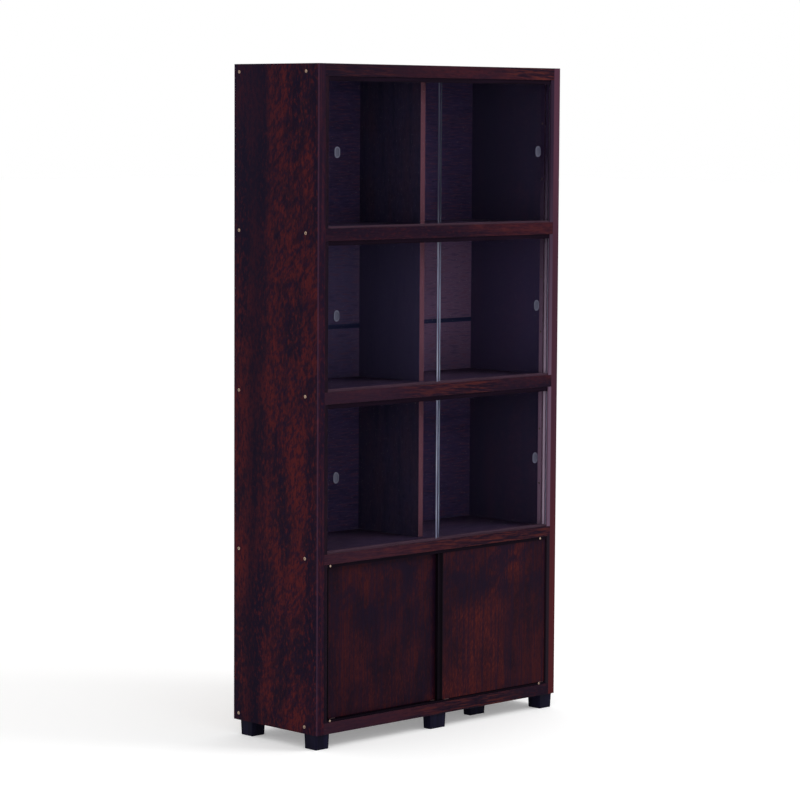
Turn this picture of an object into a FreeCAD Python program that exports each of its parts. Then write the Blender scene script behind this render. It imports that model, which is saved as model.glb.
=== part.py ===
import FreeCAD, Part
import math
import os
from FreeCAD import Vector

# Tall bookcase with three glass-fronted bays over a cupboard, all with sliding doors.
# Lengths are in millimetres. While a piece is made, x runs right from the left outer face,
# y runs back from the front plane, and z runs up from the underside of the carcass.

# ---- overall size ----
width = 915.0
depth = 330.0
carcass_height = 1760.0
foot_height = 40.0

# ---- boards ----
side_thickness = 25.0
board_thickness = 25.0
divider_thickness = 18.0
divider_setback = 80.0
arris_radius = 3.0
small_arris = 1.2

# ---- front rails ----
rail_depth = 38.0
top_rail_height = 33.0
shelf_rail_height = 33.0
lower_rail_height = 28.0
bottom_rail_height = 31.0
glass_bay_height = 394.0
tongue_depth = 8.0
tongue_thickness = 8.0

# ---- back ----
back_thickness = 4.0
back_inset = 8.0
back_groove_depth = 8.0
back_end_gap = 1.0
back_joint_above_shelf = 141.0
joint_strip_height = 12.0
joint_strip_web = 2.0
joint_strip_flange = 1.0

# ---- jambs and glass ----
jamb_width = 12.0
jamb_groove_depth = 7.0
pane_thickness = 5.0
pane_side_gap = 0.5
pane_in_jamb = 5.0
pane_overlap = 25.0
front_pane_y = 5.5
pane_groove_rib = 8.5
pane_arris = 0.8

# ---- glass tracks ----
track_floor = 2.0
track_lip = 2.0
glass_track_low = 5.0
glass_track_high = 12.0
pane_lift_gap = 5.0
slide_gap = 0.1

# ---- finger pulls on the glass ----
pull_width = 20.0
pull_height = 30.0
pull_thickness = 1.6
pull_rim = 3.5
pull_dish = 0.9
pull_from_jamb = 47.0

# ---- wooden doors and their tracks ----
door_thickness = 8.0
door_side_gap = 1.0
door_overlap = 10.0
door_end_gap = 1.0
front_door_y = 5.0
door_groove_rib = 2.0
door_track_floor = 1.5
door_track_low = 5.5
door_track_high = 8.5
door_lift_gap = 4.5
door_arris = 1.0

# ---- grip profile on the left edge of each wooden door ----
grip_width = 19.0
grip_lip = 2.5
grip_scoop = 5.5
grip_tongue = 5.0
grip_tongue_thickness = 3.0

# ---- door glides ----
glide_length = 16.0
glide_width = 7.0
glide_proud = 5.0
glide_peg_radius = 2.0
glide_peg_length = 10.0
glide_from_right = 12.0
glide_from_left = 36.0

# ---- feet ----
foot_size = 45.0
foot_from_side = 6.0
foot_from_front = 8.0
foot_from_back = 23.0
foot_flare = 1.5
foot_corner_radius = 3.0
middle_foot_width = 58.0
middle_foot_depth = 27.0
offset_foot_x = 676.0
offset_foot_y = 70.0

# ---- fasteners ----
hole_gap = 0.1
screw_behind_rail = 9.5
screw_from_back = 20.0
screw_head_radius = 4.5
screw_head_height = 1.6
screw_shank_radius = 2.5
screw_shank_length = 55.0
stud_head_radius = 3.1
stud_from_left_jamb = 12.0
stud_from_right_jamb = 25.5
stud_shank_radius = 1.2
jamb_screw_from_end = 120.0
jamb_screw_from_back = 6.0
jamb_screw_radius = 1.5
jamb_screw_head_radius = 3.0
jamb_screw_length = 26.0
dowel_radius = 4.0
dowel_in_board = 11.0
dowel_in_end = 19.0
nail_radius = 0.9
nail_head_radius = 2.2
nail_head_height = 0.6
nail_length = 22.0
nail_from_side = 60.0

# ---- heights and depths worked out from the above ----
bottom_rail_top = bottom_rail_height
lower_rail_top = carcass_height - top_rail_height - 3 * glass_bay_height - 2 * shelf_rail_height
lower_rail_bottom = lower_rail_top - lower_rail_height
middle_rail_bottom = lower_rail_top + glass_bay_height
middle_rail_top = middle_rail_bottom + shelf_rail_height
upper_rail_bottom = middle_rail_top + glass_bay_height
upper_rail_top = upper_rail_bottom + shelf_rail_height
top_rail_bottom = upper_rail_top + glass_bay_height

rails = {
    "bottom_rail": (0.0, bottom_rail_top),
    "lower_rail": (lower_rail_bottom, lower_rail_top),
    "middle_rail": (middle_rail_bottom, middle_rail_top),
    "upper_rail": (upper_rail_bottom, upper_rail_top),
    "top_rail": (top_rail_bottom, carcass_height),
}
boards = {
    "bottom_panel": (bottom_rail_top - board_thickness, "bottom_rail"),
    "lower_shelf": (lower_rail_top - board_thickness, "lower_rail"),
    "middle_shelf": (middle_rail_top - board_thickness, "middle_rail"),
    "upper_shelf": (upper_rail_top - board_thickness, "upper_rail"),
    "top_panel": (top_rail_bottom, "top_rail"),
}
# each glass bay: its rail-to-rail space, then the underside of the board above it
bays = {
    "lower": (lower_rail_top, middle_rail_bottom, boards["middle_shelf"][0]),
    "middle": (middle_rail_top, upper_rail_bottom, boards["upper_shelf"][0]),
    "upper": (upper_rail_top, top_rail_bottom, boards["top_panel"][0]),
}

inner_left = side_thickness
inner_right = width - side_thickness
opening_left = inner_left + jamb_width
opening_right = inner_right - jamb_width
middle_x = width / 2
back_rear = depth - back_inset
back_front = back_rear - back_thickness
back_joint_z = middle_rail_top + back_joint_above_shelf

rear_pane_y = front_pane_y + pane_thickness + 2 * pane_side_gap + pane_groove_rib
pane_width = (opening_right - opening_left + 2 * pane_in_jamb + pane_overlap) / 2
rear_door_y = front_door_y + door_thickness + 2 * door_side_gap + door_groove_rib
door_width = (opening_right - opening_left - 2 * door_end_gap + door_overlap) / 2
door_bottom = bottom_rail_top + door_track_floor + slide_gap + glide_proud
door_top = lower_rail_bottom - door_track_floor - door_lift_gap


# ---- helpers ----
def block(x0, x1, y0, y1, z0, z1):
    """Box between two corners."""
    return Part.makeBox(x1 - x0, y1 - y0, z1 - z0, Vector(x0, y0, z0))


def rod(radius, start, direction, length):
    return Part.makeCylinder(radius, length, start, direction)


def fuse(pieces):
    """Fuse solids into one and merge the faces that lie in one plane."""
    return pieces[0].multiFuse(pieces[1:]).removeSplitter()


def rounded(shape, radius, chosen):
    """Round the straight edges whose two ends both pass the test."""
    edges = [e for e in shape.Edges if all(chosen(v.Point) for v in e.Vertexes)]
    return shape.makeFillet(radius, edges)


def near(a, b):
    return abs(a - b) < 1e-6


def headed_pin(seat, outward, head_radius, head_height, shank_radius, shank_length):
    """Pin with a domed head that rests on its seat and faces outward."""
    dome_radius = (head_radius ** 2 + head_height ** 2) / (2 * head_height)
    sunk = dome_radius - head_height
    rim_angle = math.degrees(math.asin(sunk / dome_radius))
    head = Part.makeSphere(dome_radius, seat - outward * sunk, outward, rim_angle, 90)
    return fuse([head, rod(shank_radius, seat, outward * -1, shank_length)])


def board_middle(name):
    return boards[name][0] + board_thickness / 2


# ---- places of the fasteners ----
def carcass_screw_seats():
    """Seat and outward direction of each screw that holds a board between the sides."""
    seats = []
    for name in boards:
        for y in (rail_depth + screw_behind_rail, depth - screw_from_back):
            seats.append((Vector(0, y, board_middle(name)), Vector(-1, 0, 0)))
            seats.append((Vector(width, y, board_middle(name)), Vector(1, 0, 0)))
    return seats


def carcass_screw_holes():
    return [rod(screw_shank_radius + hole_gap, seat, outward * -1, screw_shank_length + 1)
            for seat, outward in carcass_screw_seats()]


def rail_dowels():
    """One dowel in each end of each rail, let into the side panel."""
    length = dowel_in_board + dowel_in_end
    pins = []
    for z0, z1 in rails.values():
        middle = (z0 + z1) / 2
        start = Vector(inner_left - dowel_in_board, rail_depth / 2, middle)
        pins.append(rod(dowel_radius, start, Vector(1, 0, 0), length))
        start = Vector(inner_right + dowel_in_board, rail_depth / 2, middle)
        pins.append(rod(dowel_radius, start, Vector(-1, 0, 0), length))
    return pins


def divider_dowels():
    """Two dowels in the top and two in the bottom edge of each divider."""
    span = back_front - divider_setback
    length = dowel_in_board + dowel_in_end
    pins = []
    for floor, _, ceiling in bays.values():
        for y in (divider_setback + span / 4, back_front - span / 4):
            low = Vector(middle_x, y, floor - dowel_in_board)
            high = Vector(middle_x, y, ceiling + dowel_in_board)
            pins.append(rod(dowel_radius, low, Vector(0, 0, 1), length))
            pins.append(rod(dowel_radius, high, Vector(0, 0, -1), length))
    return pins


def jamb_screw_seats():
    """Screws through the jambs into the sides; they sit behind the panes."""
    seats = []
    spans = [(floor, ceiling, pane_grooves()) for floor, ceiling, _ in bays.values()]
    spans.append((bottom_rail_top, lower_rail_bottom, door_grooves()))
    for z0, z1, grooves in spans:
        clear_of_grooves = grooves[-1][1] + jamb_screw_head_radius + hole_gap
        y = max(rail_depth - jamb_screw_from_back, clear_of_grooves)
        for z in (z0 + jamb_screw_from_end, z1 - jamb_screw_from_end):
            seats.append((Vector(opening_left, y, z), Vector(1, 0, 0)))
            seats.append((Vector(opening_right, y, z), Vector(-1, 0, 0)))
    return seats


def jamb_screw_holes():
    return [rod(jamb_screw_radius + hole_gap, seat, outward * -1, jamb_screw_length + 1)
            for seat, outward in jamb_screw_seats()]


def nail_seats():
    """Nails through the back sheets into the rear edge of every board."""
    seats = []
    for name in boards:
        for x in (nail_from_side, middle_x - nail_from_side, width - nail_from_side):
            seats.append((Vector(x, back_rear, board_middle(name)), Vector(0, 1, 0)))
    return seats


def nail_holes():
    return [rod(nail_radius, seat, outward * -1, nail_length)
            for seat, outward in nail_seats()]


def drilled(shape, holes):
    """Cut only the holes that reach the piece."""
    box = shape.BoundBox
    hits = [h for h in holes if box.intersect(h.BoundBox)]
    return shape.cut(hits) if hits else shape


# ---- carcass ----
def side_panel(x0, x1):
    panel = block(x0, x1, 0, depth, 0, carcass_height)
    panel = rounded(panel, arris_radius, lambda p: near(p.y, 0) and (near(p.x, 0) or near(p.x, width)))
    groove_x = (inner_left - back_groove_depth, inner_right + back_groove_depth)
    groove = block(*groove_x, back_front, back_rear, 0, carcass_height)
    return drilled(panel.cut(groove), carcass_screw_holes() + rail_dowels() + jamb_screw_holes())


def board(name):
    """Shelf, top or bottom: tongued into its rail and screwed between the sides."""
    z0, rail = boards[name]
    z1 = z0 + board_thickness
    middle = board_middle(name)
    panel = block(inner_left, inner_right, rail_depth, back_front, z0, z1)
    tongue = block(inner_left, inner_right, rail_depth - tongue_depth, rail_depth,
                   middle - tongue_thickness / 2, middle + tongue_thickness / 2)
    return drilled(fuse([panel, tongue]), carcass_screw_holes() + divider_dowels() + nail_holes())


def rail(name):
    """Front rail with rounded front arrises and a groove for its board's tongue."""
    z0, z1 = rails[name]
    body = block(inner_left, inner_right, 0, rail_depth, z0, z1)
    body = rounded(body, small_arris, lambda p: near(p.y, 0) and (near(p.z, z0) or near(p.z, z1)))
    tongued = [key for key, value in boards.items() if value[1] == name][0]
    middle = board_middle(tongued)
    groove = block(inner_left, inner_right, rail_depth - tongue_depth, rail_depth,
                   middle - tongue_thickness / 2, middle + tongue_thickness / 2)
    return drilled(body.cut(groove), rail_dowels())


def divider(bay):
    floor, _, ceiling = bays[bay]
    half = divider_thickness / 2
    panel = block(middle_x - half, middle_x + half, divider_setback, back_front, floor, ceiling)
    panel = rounded(panel, small_arris, lambda p: near(p.y, divider_setback))
    return drilled(panel.cut(joint_strip()), divider_dowels())


def back_sheet(z0, z1):
    reach = back_groove_depth - back_end_gap
    sheet = block(inner_left - reach, inner_right + reach, back_front, back_rear, z0, z1)
    return drilled(sheet.cut(joint_strip()), nail_holes())


def joint_strip():
    """H-shaped strip that holds the meeting edges of the two back sheets."""
    z0 = back_joint_z - joint_strip_height / 2
    z1 = back_joint_z + joint_strip_height / 2
    front = block(inner_left, inner_right, back_front - joint_strip_flange, back_front, z0, z1)
    rear = block(inner_left, inner_right, back_rear, back_rear + joint_strip_flange, z0, z1)
    web = block(inner_left, inner_right, back_front, back_rear,
                back_joint_z - joint_strip_web / 2, back_joint_z + joint_strip_web / 2)
    return fuse([front, web, rear])


# ---- jambs, tracks and glass ----
def pane_grooves():
    """Depth range of the front and of the rear pane's groove."""
    return [(y - pane_side_gap, y + pane_thickness + pane_side_gap)
            for y in (front_pane_y, rear_pane_y)]


def door_grooves():
    return [(y - door_side_gap, y + door_thickness + door_side_gap)
            for y in (front_door_y, rear_door_y)]


def jamb(x0, x1, z0, z1, grooves):
    """Side strip of a bay; a glass jamb is grooved on the face that looks into the bay."""
    strip = block(x0, x1, 0, rail_depth, z0, z1)
    strip = rounded(strip, small_arris, lambda p: near(p.y, 0) and
                    (near(p.x, opening_left) or near(p.x, opening_right)))
    cuts = [block(opening_left - jamb_groove_depth, opening_right + jamb_groove_depth, y0, y1, z0, z1)
            for y0, y1 in grooves]
    strip = strip.cut(cuts) if cuts else strip
    return drilled(strip, jamb_screw_holes())


def track(grooves, floor, z_base, z_tip):
    """Two-groove track between the jambs, from the rail at z_base to the lip tips at z_tip."""
    y0 = grooves[0][0] - track_lip
    y1 = grooves[-1][1] + track_lip
    low, high = sorted((z_base, z_tip))
    strip = block(opening_left, opening_right, y0, y1, low, high)
    runs = sorted((z_base + floor if z_tip > z_base else z_base - floor, z_tip))
    return strip.cut([block(opening_left, opening_right, a, b, *runs) for a, b in grooves])


def pane(x0, y0, floor, ceiling):
    """Glass pane with ground arrises, resting on its track's floor."""
    z0 = floor + track_floor + slide_gap
    z1 = ceiling - track_floor - pane_lift_gap
    glass = block(x0, x0 + pane_width, y0, y0 + pane_thickness, z0, z1)
    upright = [e for e in glass.Edges if near(e.Vertexes[0].X, e.Vertexes[1].X)
               and near(e.Vertexes[0].Y, e.Vertexes[1].Y)]
    return glass.makeChamfer(pane_arris, upright)


def oblong(center_x, center_z, half_width, half_height, y0, y1):
    """Upright oblong plate with round ends."""
    straight = half_height - half_width
    ends = [rod(half_width, Vector(center_x, y0, center_z + s * straight), Vector(0, 1, 0), y1 - y0)
            for s in (-1, 1)]
    bar = block(center_x - half_width, center_x + half_width, y0, y1,
                center_z - straight, center_z + straight)
    return fuse([bar] + ends)


def pull(center_x, center_z, y_face):
    """Stick-on finger pull: an oblong plate with a shallow dish."""
    y0 = y_face - pull_thickness
    plate = oblong(center_x, center_z, pull_width / 2, pull_height / 2, y0, y_face)
    plate = plate.makeFillet(pull_thickness / 3, [e for e in plate.Edges
                                                 if all(near(v.Y, y0) for v in e.Vertexes)])
    dish = oblong(center_x, center_z, pull_width / 2 - pull_rim, pull_height / 2 - pull_rim,
                  y0 - 1, y0 + pull_dish)
    return plate.cut(dish)


# ---- wooden doors ----
def door_grip(x0, y0):
    """Edge profile with a round-bottomed scoop for the fingers and a tongue for the panel."""
    body = block(x0, x0 + grip_width, y0, y0 + door_thickness, door_bottom, door_top)
    middle = y0 + door_thickness / 2
    tongue = block(x0 + grip_width, x0 + grip_width + grip_tongue, middle - grip_tongue_thickness / 2,
                   middle + grip_tongue_thickness / 2, door_bottom, door_top)
    half = grip_width / 2 - grip_lip
    radius = (half ** 2 + grip_scoop ** 2) / (2 * grip_scoop)
    axis = Vector(x0 + grip_width / 2, y0 + grip_scoop - radius, door_bottom)
    scoop = rod(radius, axis, Vector(0, 0, 1), door_top - door_bottom)
    return fuse([body, tongue]).cut(scoop)


def glide_places(x0):
    return (x0 + glide_from_left, x0 + door_width - glide_from_right)


def glide_pegs(x0, y0):
    return [rod(glide_peg_radius, Vector(x, y0 + door_thickness / 2, door_bottom),
                Vector(0, 0, 1), glide_peg_length) for x in glide_places(x0)]


def door_panel(x0, y0):
    panel = block(x0 + grip_width, x0 + door_width, y0, y0 + door_thickness, door_bottom, door_top)
    panel = rounded(panel, door_arris, lambda p: near(p.y, y0) and near(p.x, x0 + door_width))
    return panel.cut([door_grip(x0, y0)] + glide_pegs(x0, y0))


def door_glides(x0, y0):
    """Nylon glides: a runner with rounded ends and a peg let into the door's bottom edge."""
    middle = y0 + door_thickness / 2
    glides = []
    for x, peg in zip(glide_places(x0), glide_pegs(x0, y0)):
        runner = block(x - glide_length / 2, x + glide_length / 2, middle - glide_width / 2,
                       middle + glide_width / 2, door_bottom - glide_proud, door_bottom)
        runner = rounded(runner, glide_proud / 2, lambda p: near(p.z, door_bottom - glide_proud)
                         and near(abs(p.x - x), glide_length / 2))
        glides.append(fuse([runner, peg]))
    return Part.makeCompound(glides)


# ---- feet and fasteners ----
def foot(center_x, center_y, size_x, size_y, recess):
    """Moulded block foot: square at the carcass, slightly flared, with a locating step on top."""
    def outline(grow, z):
        base = block(center_x - size_x / 2 - grow, center_x + size_x / 2 + grow,
                     center_y - size_y / 2 - grow, center_y + size_y / 2 + grow, z, z + 1)
        base = base.makeFillet(foot_corner_radius, [e for e in base.Edges
                                                    if not near(e.Vertexes[0].Z, e.Vertexes[1].Z)])
        lower = [f for f in base.Faces if near(f.CenterOfMass.z, z)][0]
        return lower.OuterWire
    body = Part.makeLoft([outline(0, -foot_height), outline(foot_flare, 0)], True, True)
    return fuse([body, recess]) if recess else body


def corner_foot(center_x, center_y):
    """The step fills the gap between the bottom panel and the lower edge of the side."""
    left = center_x < middle_x
    x0, x1 = (inner_left, center_x + foot_size / 2) if left else (center_x - foot_size / 2, inner_right)
    y0 = max(center_y - foot_size / 2, rail_depth)
    step = block(x0, x1, y0, center_y + foot_size / 2, 0, boards["bottom_panel"][0])
    return foot(center_x, center_y, foot_size, foot_size, step)


def corner_feet():
    inset = foot_from_side + foot_size / 2
    front = foot_from_front + foot_size / 2
    rear = depth - foot_from_back - foot_size / 2
    return Part.makeCompound([corner_foot(x, y) for y in (front, rear) for x in (inset, width - inset)])


def middle_feet():
    """Wide feet: one under the bottom rail, two under the bottom panel."""
    front_y = foot_from_front + middle_foot_depth / 2
    rear_y = depth - foot_from_back - middle_foot_depth / 2
    feet = [foot(middle_x, front_y, middle_foot_width, middle_foot_depth, None)]
    for x, y in ((middle_x, rear_y), (offset_foot_x, offset_foot_y + middle_foot_depth / 2)):
        step = block(x - middle_foot_width / 2, x + middle_foot_width / 2,
                     y - middle_foot_depth / 2, y + middle_foot_depth / 2, 0, boards["bottom_panel"][0])
        feet.append(foot(x, y, middle_foot_width, middle_foot_depth, step))
    return Part.makeCompound(feet)


def stud_seats():
    """Brass-headed studs near the ends of the front lips of the wooden doors' tracks."""
    y = door_grooves()[0][0] - track_lip
    heights = (bottom_rail_top + stud_head_radius, lower_rail_bottom - door_track_high / 2)
    return [Vector(x, y, z) for z in heights
            for x in (opening_left + stud_from_left_jamb, opening_right - stud_from_right_jamb)]


def studs():
    return Part.makeCompound([headed_pin(seat, Vector(0, -1, 0), stud_head_radius, screw_head_height,
                                         stud_shank_radius, track_lip) for seat in stud_seats()])


def stud_holes():
    return [rod(stud_shank_radius, seat, Vector(0, 1, 0), track_lip) for seat in stud_seats()]


def carcass_screws():
    return Part.makeCompound([headed_pin(seat, outward, screw_head_radius, screw_head_height,
                                         screw_shank_radius, screw_shank_length)
                              for seat, outward in carcass_screw_seats()])


def jamb_screws():
    return Part.makeCompound([headed_pin(seat, outward, jamb_screw_head_radius, screw_head_height,
                                         jamb_screw_radius, jamb_screw_length)
                              for seat, outward in jamb_screw_seats()])


def back_nails():
    return Part.makeCompound([headed_pin(seat, outward, nail_head_radius, nail_head_height,
                                         nail_radius, nail_length) for seat, outward in nail_seats()])


# ---- assembly ----
def model():
    """Every piece by its name."""
    pieces = {
        "left_side_panel": side_panel(0, side_thickness),
        "right_side_panel": side_panel(inner_right, width),
    }
    for name in boards:
        pieces[name] = board(name)
    for name in rails:
        pieces[name] = rail(name)
    for bay, (floor, ceiling, _) in bays.items():
        grooves = pane_grooves()
        low_tip = floor + glass_track_low
        high_tip = ceiling - glass_track_high
        pieces[bay + "_divider"] = divider(bay)
        pieces[bay + "_bay_left_jamb"] = jamb(inner_left, opening_left, floor, ceiling, grooves)
        pieces[bay + "_bay_right_jamb"] = jamb(opening_right, inner_right, floor, ceiling, grooves)
        pieces[bay + "_bay_bottom_track"] = track(grooves, track_floor, floor, low_tip)
        pieces[bay + "_bay_top_track"] = track(grooves, track_floor, ceiling, high_tip)
        left_x = opening_left - pane_in_jamb
        right_x = opening_right + pane_in_jamb - pane_width
        pieces[bay + "_bay_left_glass"] = pane(left_x, rear_pane_y, floor, ceiling)
        pieces[bay + "_bay_right_glass"] = pane(right_x, front_pane_y, floor, ceiling)
        pull_z = (floor + ceiling) / 2
        pieces[bay + "_bay_left_pull"] = pull(opening_left + pull_from_jamb, pull_z, rear_pane_y)
        pieces[bay + "_bay_right_pull"] = pull(opening_right - pull_from_jamb, pull_z, front_pane_y)

    cabinet = (bottom_rail_top, lower_rail_bottom)
    pieces["cabinet_left_jamb"] = jamb(inner_left, opening_left, *cabinet, [])
    pieces["cabinet_right_jamb"] = jamb(opening_right, inner_right, *cabinet, [])
    low_track = track(door_grooves(), door_track_floor, cabinet[0], cabinet[0] + door_track_low)
    high_track = track(door_grooves(), door_track_floor, cabinet[1], cabinet[1] - door_track_high)
    pieces["cabinet_bottom_track"] = drilled(low_track, stud_holes())
    pieces["cabinet_top_track"] = drilled(high_track, stud_holes())
    for side, x0, y0 in (("left", opening_left + door_end_gap, rear_door_y),
                         ("right", opening_right - door_end_gap - door_width, front_door_y)):
        pieces[side + "_door"] = door_panel(x0, y0)
        pieces[side + "_door_grip"] = door_grip(x0, y0)
        pieces[side + "_door_glides"] = door_glides(x0, y0)

    pieces["lower_back_sheet"] = back_sheet(boards["bottom_panel"][0], back_joint_z)
    pieces["upper_back_sheet"] = back_sheet(back_joint_z, boards["top_panel"][0] + board_thickness)
    pieces["back_joint_strip"] = joint_strip()
    pieces["corner_feet"] = corner_feet()
    pieces["middle_feet"] = middle_feet()
    pieces["carcass_screws"] = carcass_screws()
    pieces["jamb_screws"] = jamb_screws()
    pieces["track_studs"] = studs()
    pieces["dowels"] = Part.makeCompound(rail_dowels() + divider_dowels())
    pieces["back_nails"] = back_nails()
    return pieces


# the finished part stands on its feet, centred over its origin, with its front towards -y
to_row_frame = Vector(-width / 2, -depth / 2, foot_height)
os.makedirs("parts", exist_ok=True)
for name, shape in model().items():
    shape.translate(to_row_frame)
    shape.exportStep("parts/" + name + ".step")
    box = shape.BoundBox
    print("%-24s solids %2d  volume %11.1f  x %7.1f..%7.1f  y %7.1f..%7.1f  z %7.1f..%7.1f" % (
        name, len(shape.Solids), shape.Volume, box.XMin, box.XMax, box.YMin, box.YMax, box.ZMin, box.ZMax))
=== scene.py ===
# %% [markdown]
# # A tall bookcase with sliding doors
#
# The real thing is a flat-pack cabinet: particle board wrapped in a dark printed wood foil, three
# bays with frameless glass that slides in two-groove tracks, and a cupboard whose two thin wooden
# doors slide past each other in the same way. It stands on small plastic feet.
# The shapes of the boards, tracks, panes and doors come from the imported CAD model, which is loaded
# here as a fixed frame. This lesson gives every one of them its finish, adds the small turned
# pieces that a maker would buy by the box, and lights the whole for one view.

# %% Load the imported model
import math

import bmesh
import bpy
from mathutils import Matrix, Vector


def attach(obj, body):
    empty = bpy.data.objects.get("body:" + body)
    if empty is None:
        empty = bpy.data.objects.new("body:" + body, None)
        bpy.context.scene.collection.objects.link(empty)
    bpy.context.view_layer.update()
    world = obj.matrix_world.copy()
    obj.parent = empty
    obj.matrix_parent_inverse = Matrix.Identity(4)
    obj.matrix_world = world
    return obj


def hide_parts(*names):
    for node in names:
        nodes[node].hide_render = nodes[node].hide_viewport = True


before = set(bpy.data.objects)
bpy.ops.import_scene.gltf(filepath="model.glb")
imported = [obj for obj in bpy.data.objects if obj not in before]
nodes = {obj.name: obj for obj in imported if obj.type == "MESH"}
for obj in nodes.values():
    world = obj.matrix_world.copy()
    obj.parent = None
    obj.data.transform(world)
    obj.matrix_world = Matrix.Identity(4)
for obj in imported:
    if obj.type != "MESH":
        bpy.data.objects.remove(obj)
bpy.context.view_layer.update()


# %% [markdown]
# ## The camera
#
# Furniture is mostly looked at from eye height, a few steps away and nearly level, so that its
# uprights stay upright. The camera could be turned with Euler angles, but a long lens makes small
# mistakes large, so its three axes are written out from a heading, a pitch and a slight roll.

# %% Camera at eye height, left of the front
EYE = Vector((-5.8394, -6.0057, 1.6561))
HEADING, PITCH, ROLL = (math.radians(a) for a in (44.204, -5.230, 0.329))
LENS_MM, SENSOR_MM = 137.90, 36.0
NEAREST, FARTHEST = 0.1, 200.0
BOOKCASE_MIDDLE = Vector((0.0, 0.0, 0.9))

right = Vector((math.cos(HEADING), -math.sin(HEADING), 0.0))
ahead = Vector((math.sin(HEADING) * math.cos(PITCH), math.cos(HEADING) * math.cos(PITCH),
                math.sin(PITCH)))
up = right.cross(ahead)
rolled_right = right * math.cos(ROLL) + up * math.sin(ROLL)
rolled_up = up * math.cos(ROLL) - right * math.sin(ROLL)

camera_data = bpy.data.cameras.new("picture_camera")
camera_data.lens, camera_data.sensor_width = LENS_MM, SENSOR_MM
camera_data.clip_start, camera_data.clip_end = NEAREST, FARTHEST
camera = bpy.data.objects.new("picture_camera", camera_data)
axes = Matrix((rolled_right, rolled_up, -ahead)).transposed()
camera.matrix_world = Matrix.Translation(EYE) @ axes.to_4x4()
bpy.context.scene.collection.objects.link(camera)
bpy.context.scene.camera = camera
print("camera to the middle of the bookcase:", round((EYE - BOOKCASE_MIDDLE).length, 2), "m")

# %% [markdown]
# ## Helpers for node trees
#
# Shader and geometry trees are both made of nodes, options and links. Every node could be added and
# wired on lines of its own, but then a tree of fifty nodes fills pages. One small function that
# adds a node and fills its inputs, by a plain value or by a link, keeps the trees below readable.

# %% Add a node, fill its inputs
def add(tree, kind, inputs=None, **options):
    """Adds a node. An input is named or numbered, and takes a plain value or another's output."""
    made = tree.nodes.new(kind)
    for name, value in options.items():
        setattr(made, name, value)
    for name, value in (inputs or {}).items():
        if isinstance(value, bpy.types.NodeSocket):
            tree.links.new(value, made.inputs[name])
        else:
            made.inputs[name].default_value = value
    return made


# %% Arithmetic in a tree
def maths(tree, operation, a, b=0.0, c=0.0):
    """One step of arithmetic in a shader or geometry tree."""
    return add(tree, "ShaderNodeMath", {0: a, 1: b, 2: c}, operation=operation).outputs[0]


def plus(tree, a, b):
    return maths(tree, "ADD", a, b)


def minus(tree, a, b):
    return maths(tree, "SUBTRACT", a, b)


def times(tree, a, b):
    """A product. Of two masks, it is the place where both hold."""
    return maths(tree, "MULTIPLY", a, b)


def ease(tree, value, low, high, strength=1.0):
    """0 below low, strength above high, and a soft slope between. It falls where low > high."""
    return add(tree, "ShaderNodeMapRange",
               {"Value": value, "From Min": low, "From Max": high, "To Max": strength},
               interpolation_type="SMOOTHSTEP").outputs[0]


# %% Colours as a painter reads them
def paint(red, green, blue):
    """A display colour of 0 to 255 as the linear colour that shaders use."""
    linear = []
    for share in (red / 255, green / 255, blue / 255):
        linear.append(share / 12.92 if share <= 0.04045 else ((share + 0.055) / 1.055) ** 2.4)
    return (*linear, 1.0)


def layer(tree, amount, under, over):
    """Lays one colour over another by an amount from 0 to 1."""
    mixed = add(tree, "ShaderNodeMix", {0: amount, 6: under, 7: over}, data_type="RGBA")
    return mixed.outputs[2]


# %% A new material with one Principled shader
def new_finish(name, roughness, gloss, **more):
    """A material, its tree and its shader. gloss is the shader's Specular IOR Level, and more
    sets other inputs by their names, with _ for a space."""
    material = bpy.data.materials.new(name)
    material.use_nodes = True
    tree = material.node_tree
    shader = tree.nodes["Principled BSDF"]
    shader.inputs["Roughness"].default_value = roughness
    shader.inputs["Specular IOR Level"].default_value = gloss
    for socket, value in more.items():
        shader.inputs[socket.replace("_", " ")].default_value = value
    return material, tree, shader


def tell(*materials):
    """Prints what finishes are made of."""
    for material in materials:
        print(material.name, "has", len(material.node_tree.nodes), "nodes")


# %% [markdown]
# ## The room
#
# A catalogue page has a white ground and no visible lamp. A pale floor that is lit to white does
# that and still keeps the soft shadow under the feet. The world is white where the camera, a
# mirrored ray or a ray through glass meets it, and a plain grey where it only lights, so the dark
# wood isn't flooded. Two large soft lamps in front give the rounded edges their faint lines, and
# painted highlights on the side boards add to them.

# %% The world, white to look at and grey as a light
LIGHT_LEVEL = 0.80

bpy.context.scene.view_settings.view_transform = "Standard"
world = bpy.data.worlds.new("studio")
bpy.context.scene.world = world
world.use_nodes = True
sky = world.node_tree
sky.nodes.clear()


def seen_rays(tree):
    """1 for rays that look at a thing, straight, mirrored or through glass, and 0 for light."""
    rays = add(tree, "ShaderNodeLightPath")
    looks = maths(tree, "MAXIMUM", rays.outputs["Is Camera Ray"], rays.outputs["Is Glossy Ray"])
    return maths(tree, "MAXIMUM", looks, rays.outputs["Is Transmission Ray"])


strength = maths(sky, "MULTIPLY_ADD", seen_rays(sky), 1.0 - LIGHT_LEVEL, LIGHT_LEVEL)
shine = add(sky, "ShaderNodeBackground", {"Color": (1, 1, 1, 1), "Strength": strength})
add(sky, "ShaderNodeOutputWorld", {"Surface": shine.outputs[0]})
print("world lights at", LIGHT_LEVEL)

# %% The floor, with a faint glow of its own to reach white
FLOOR_REACH = 60.0
FLOOR_GREY = (0.93, 0.93, 0.93, 1)
FLOOR_GLOW = 0.26

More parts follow.
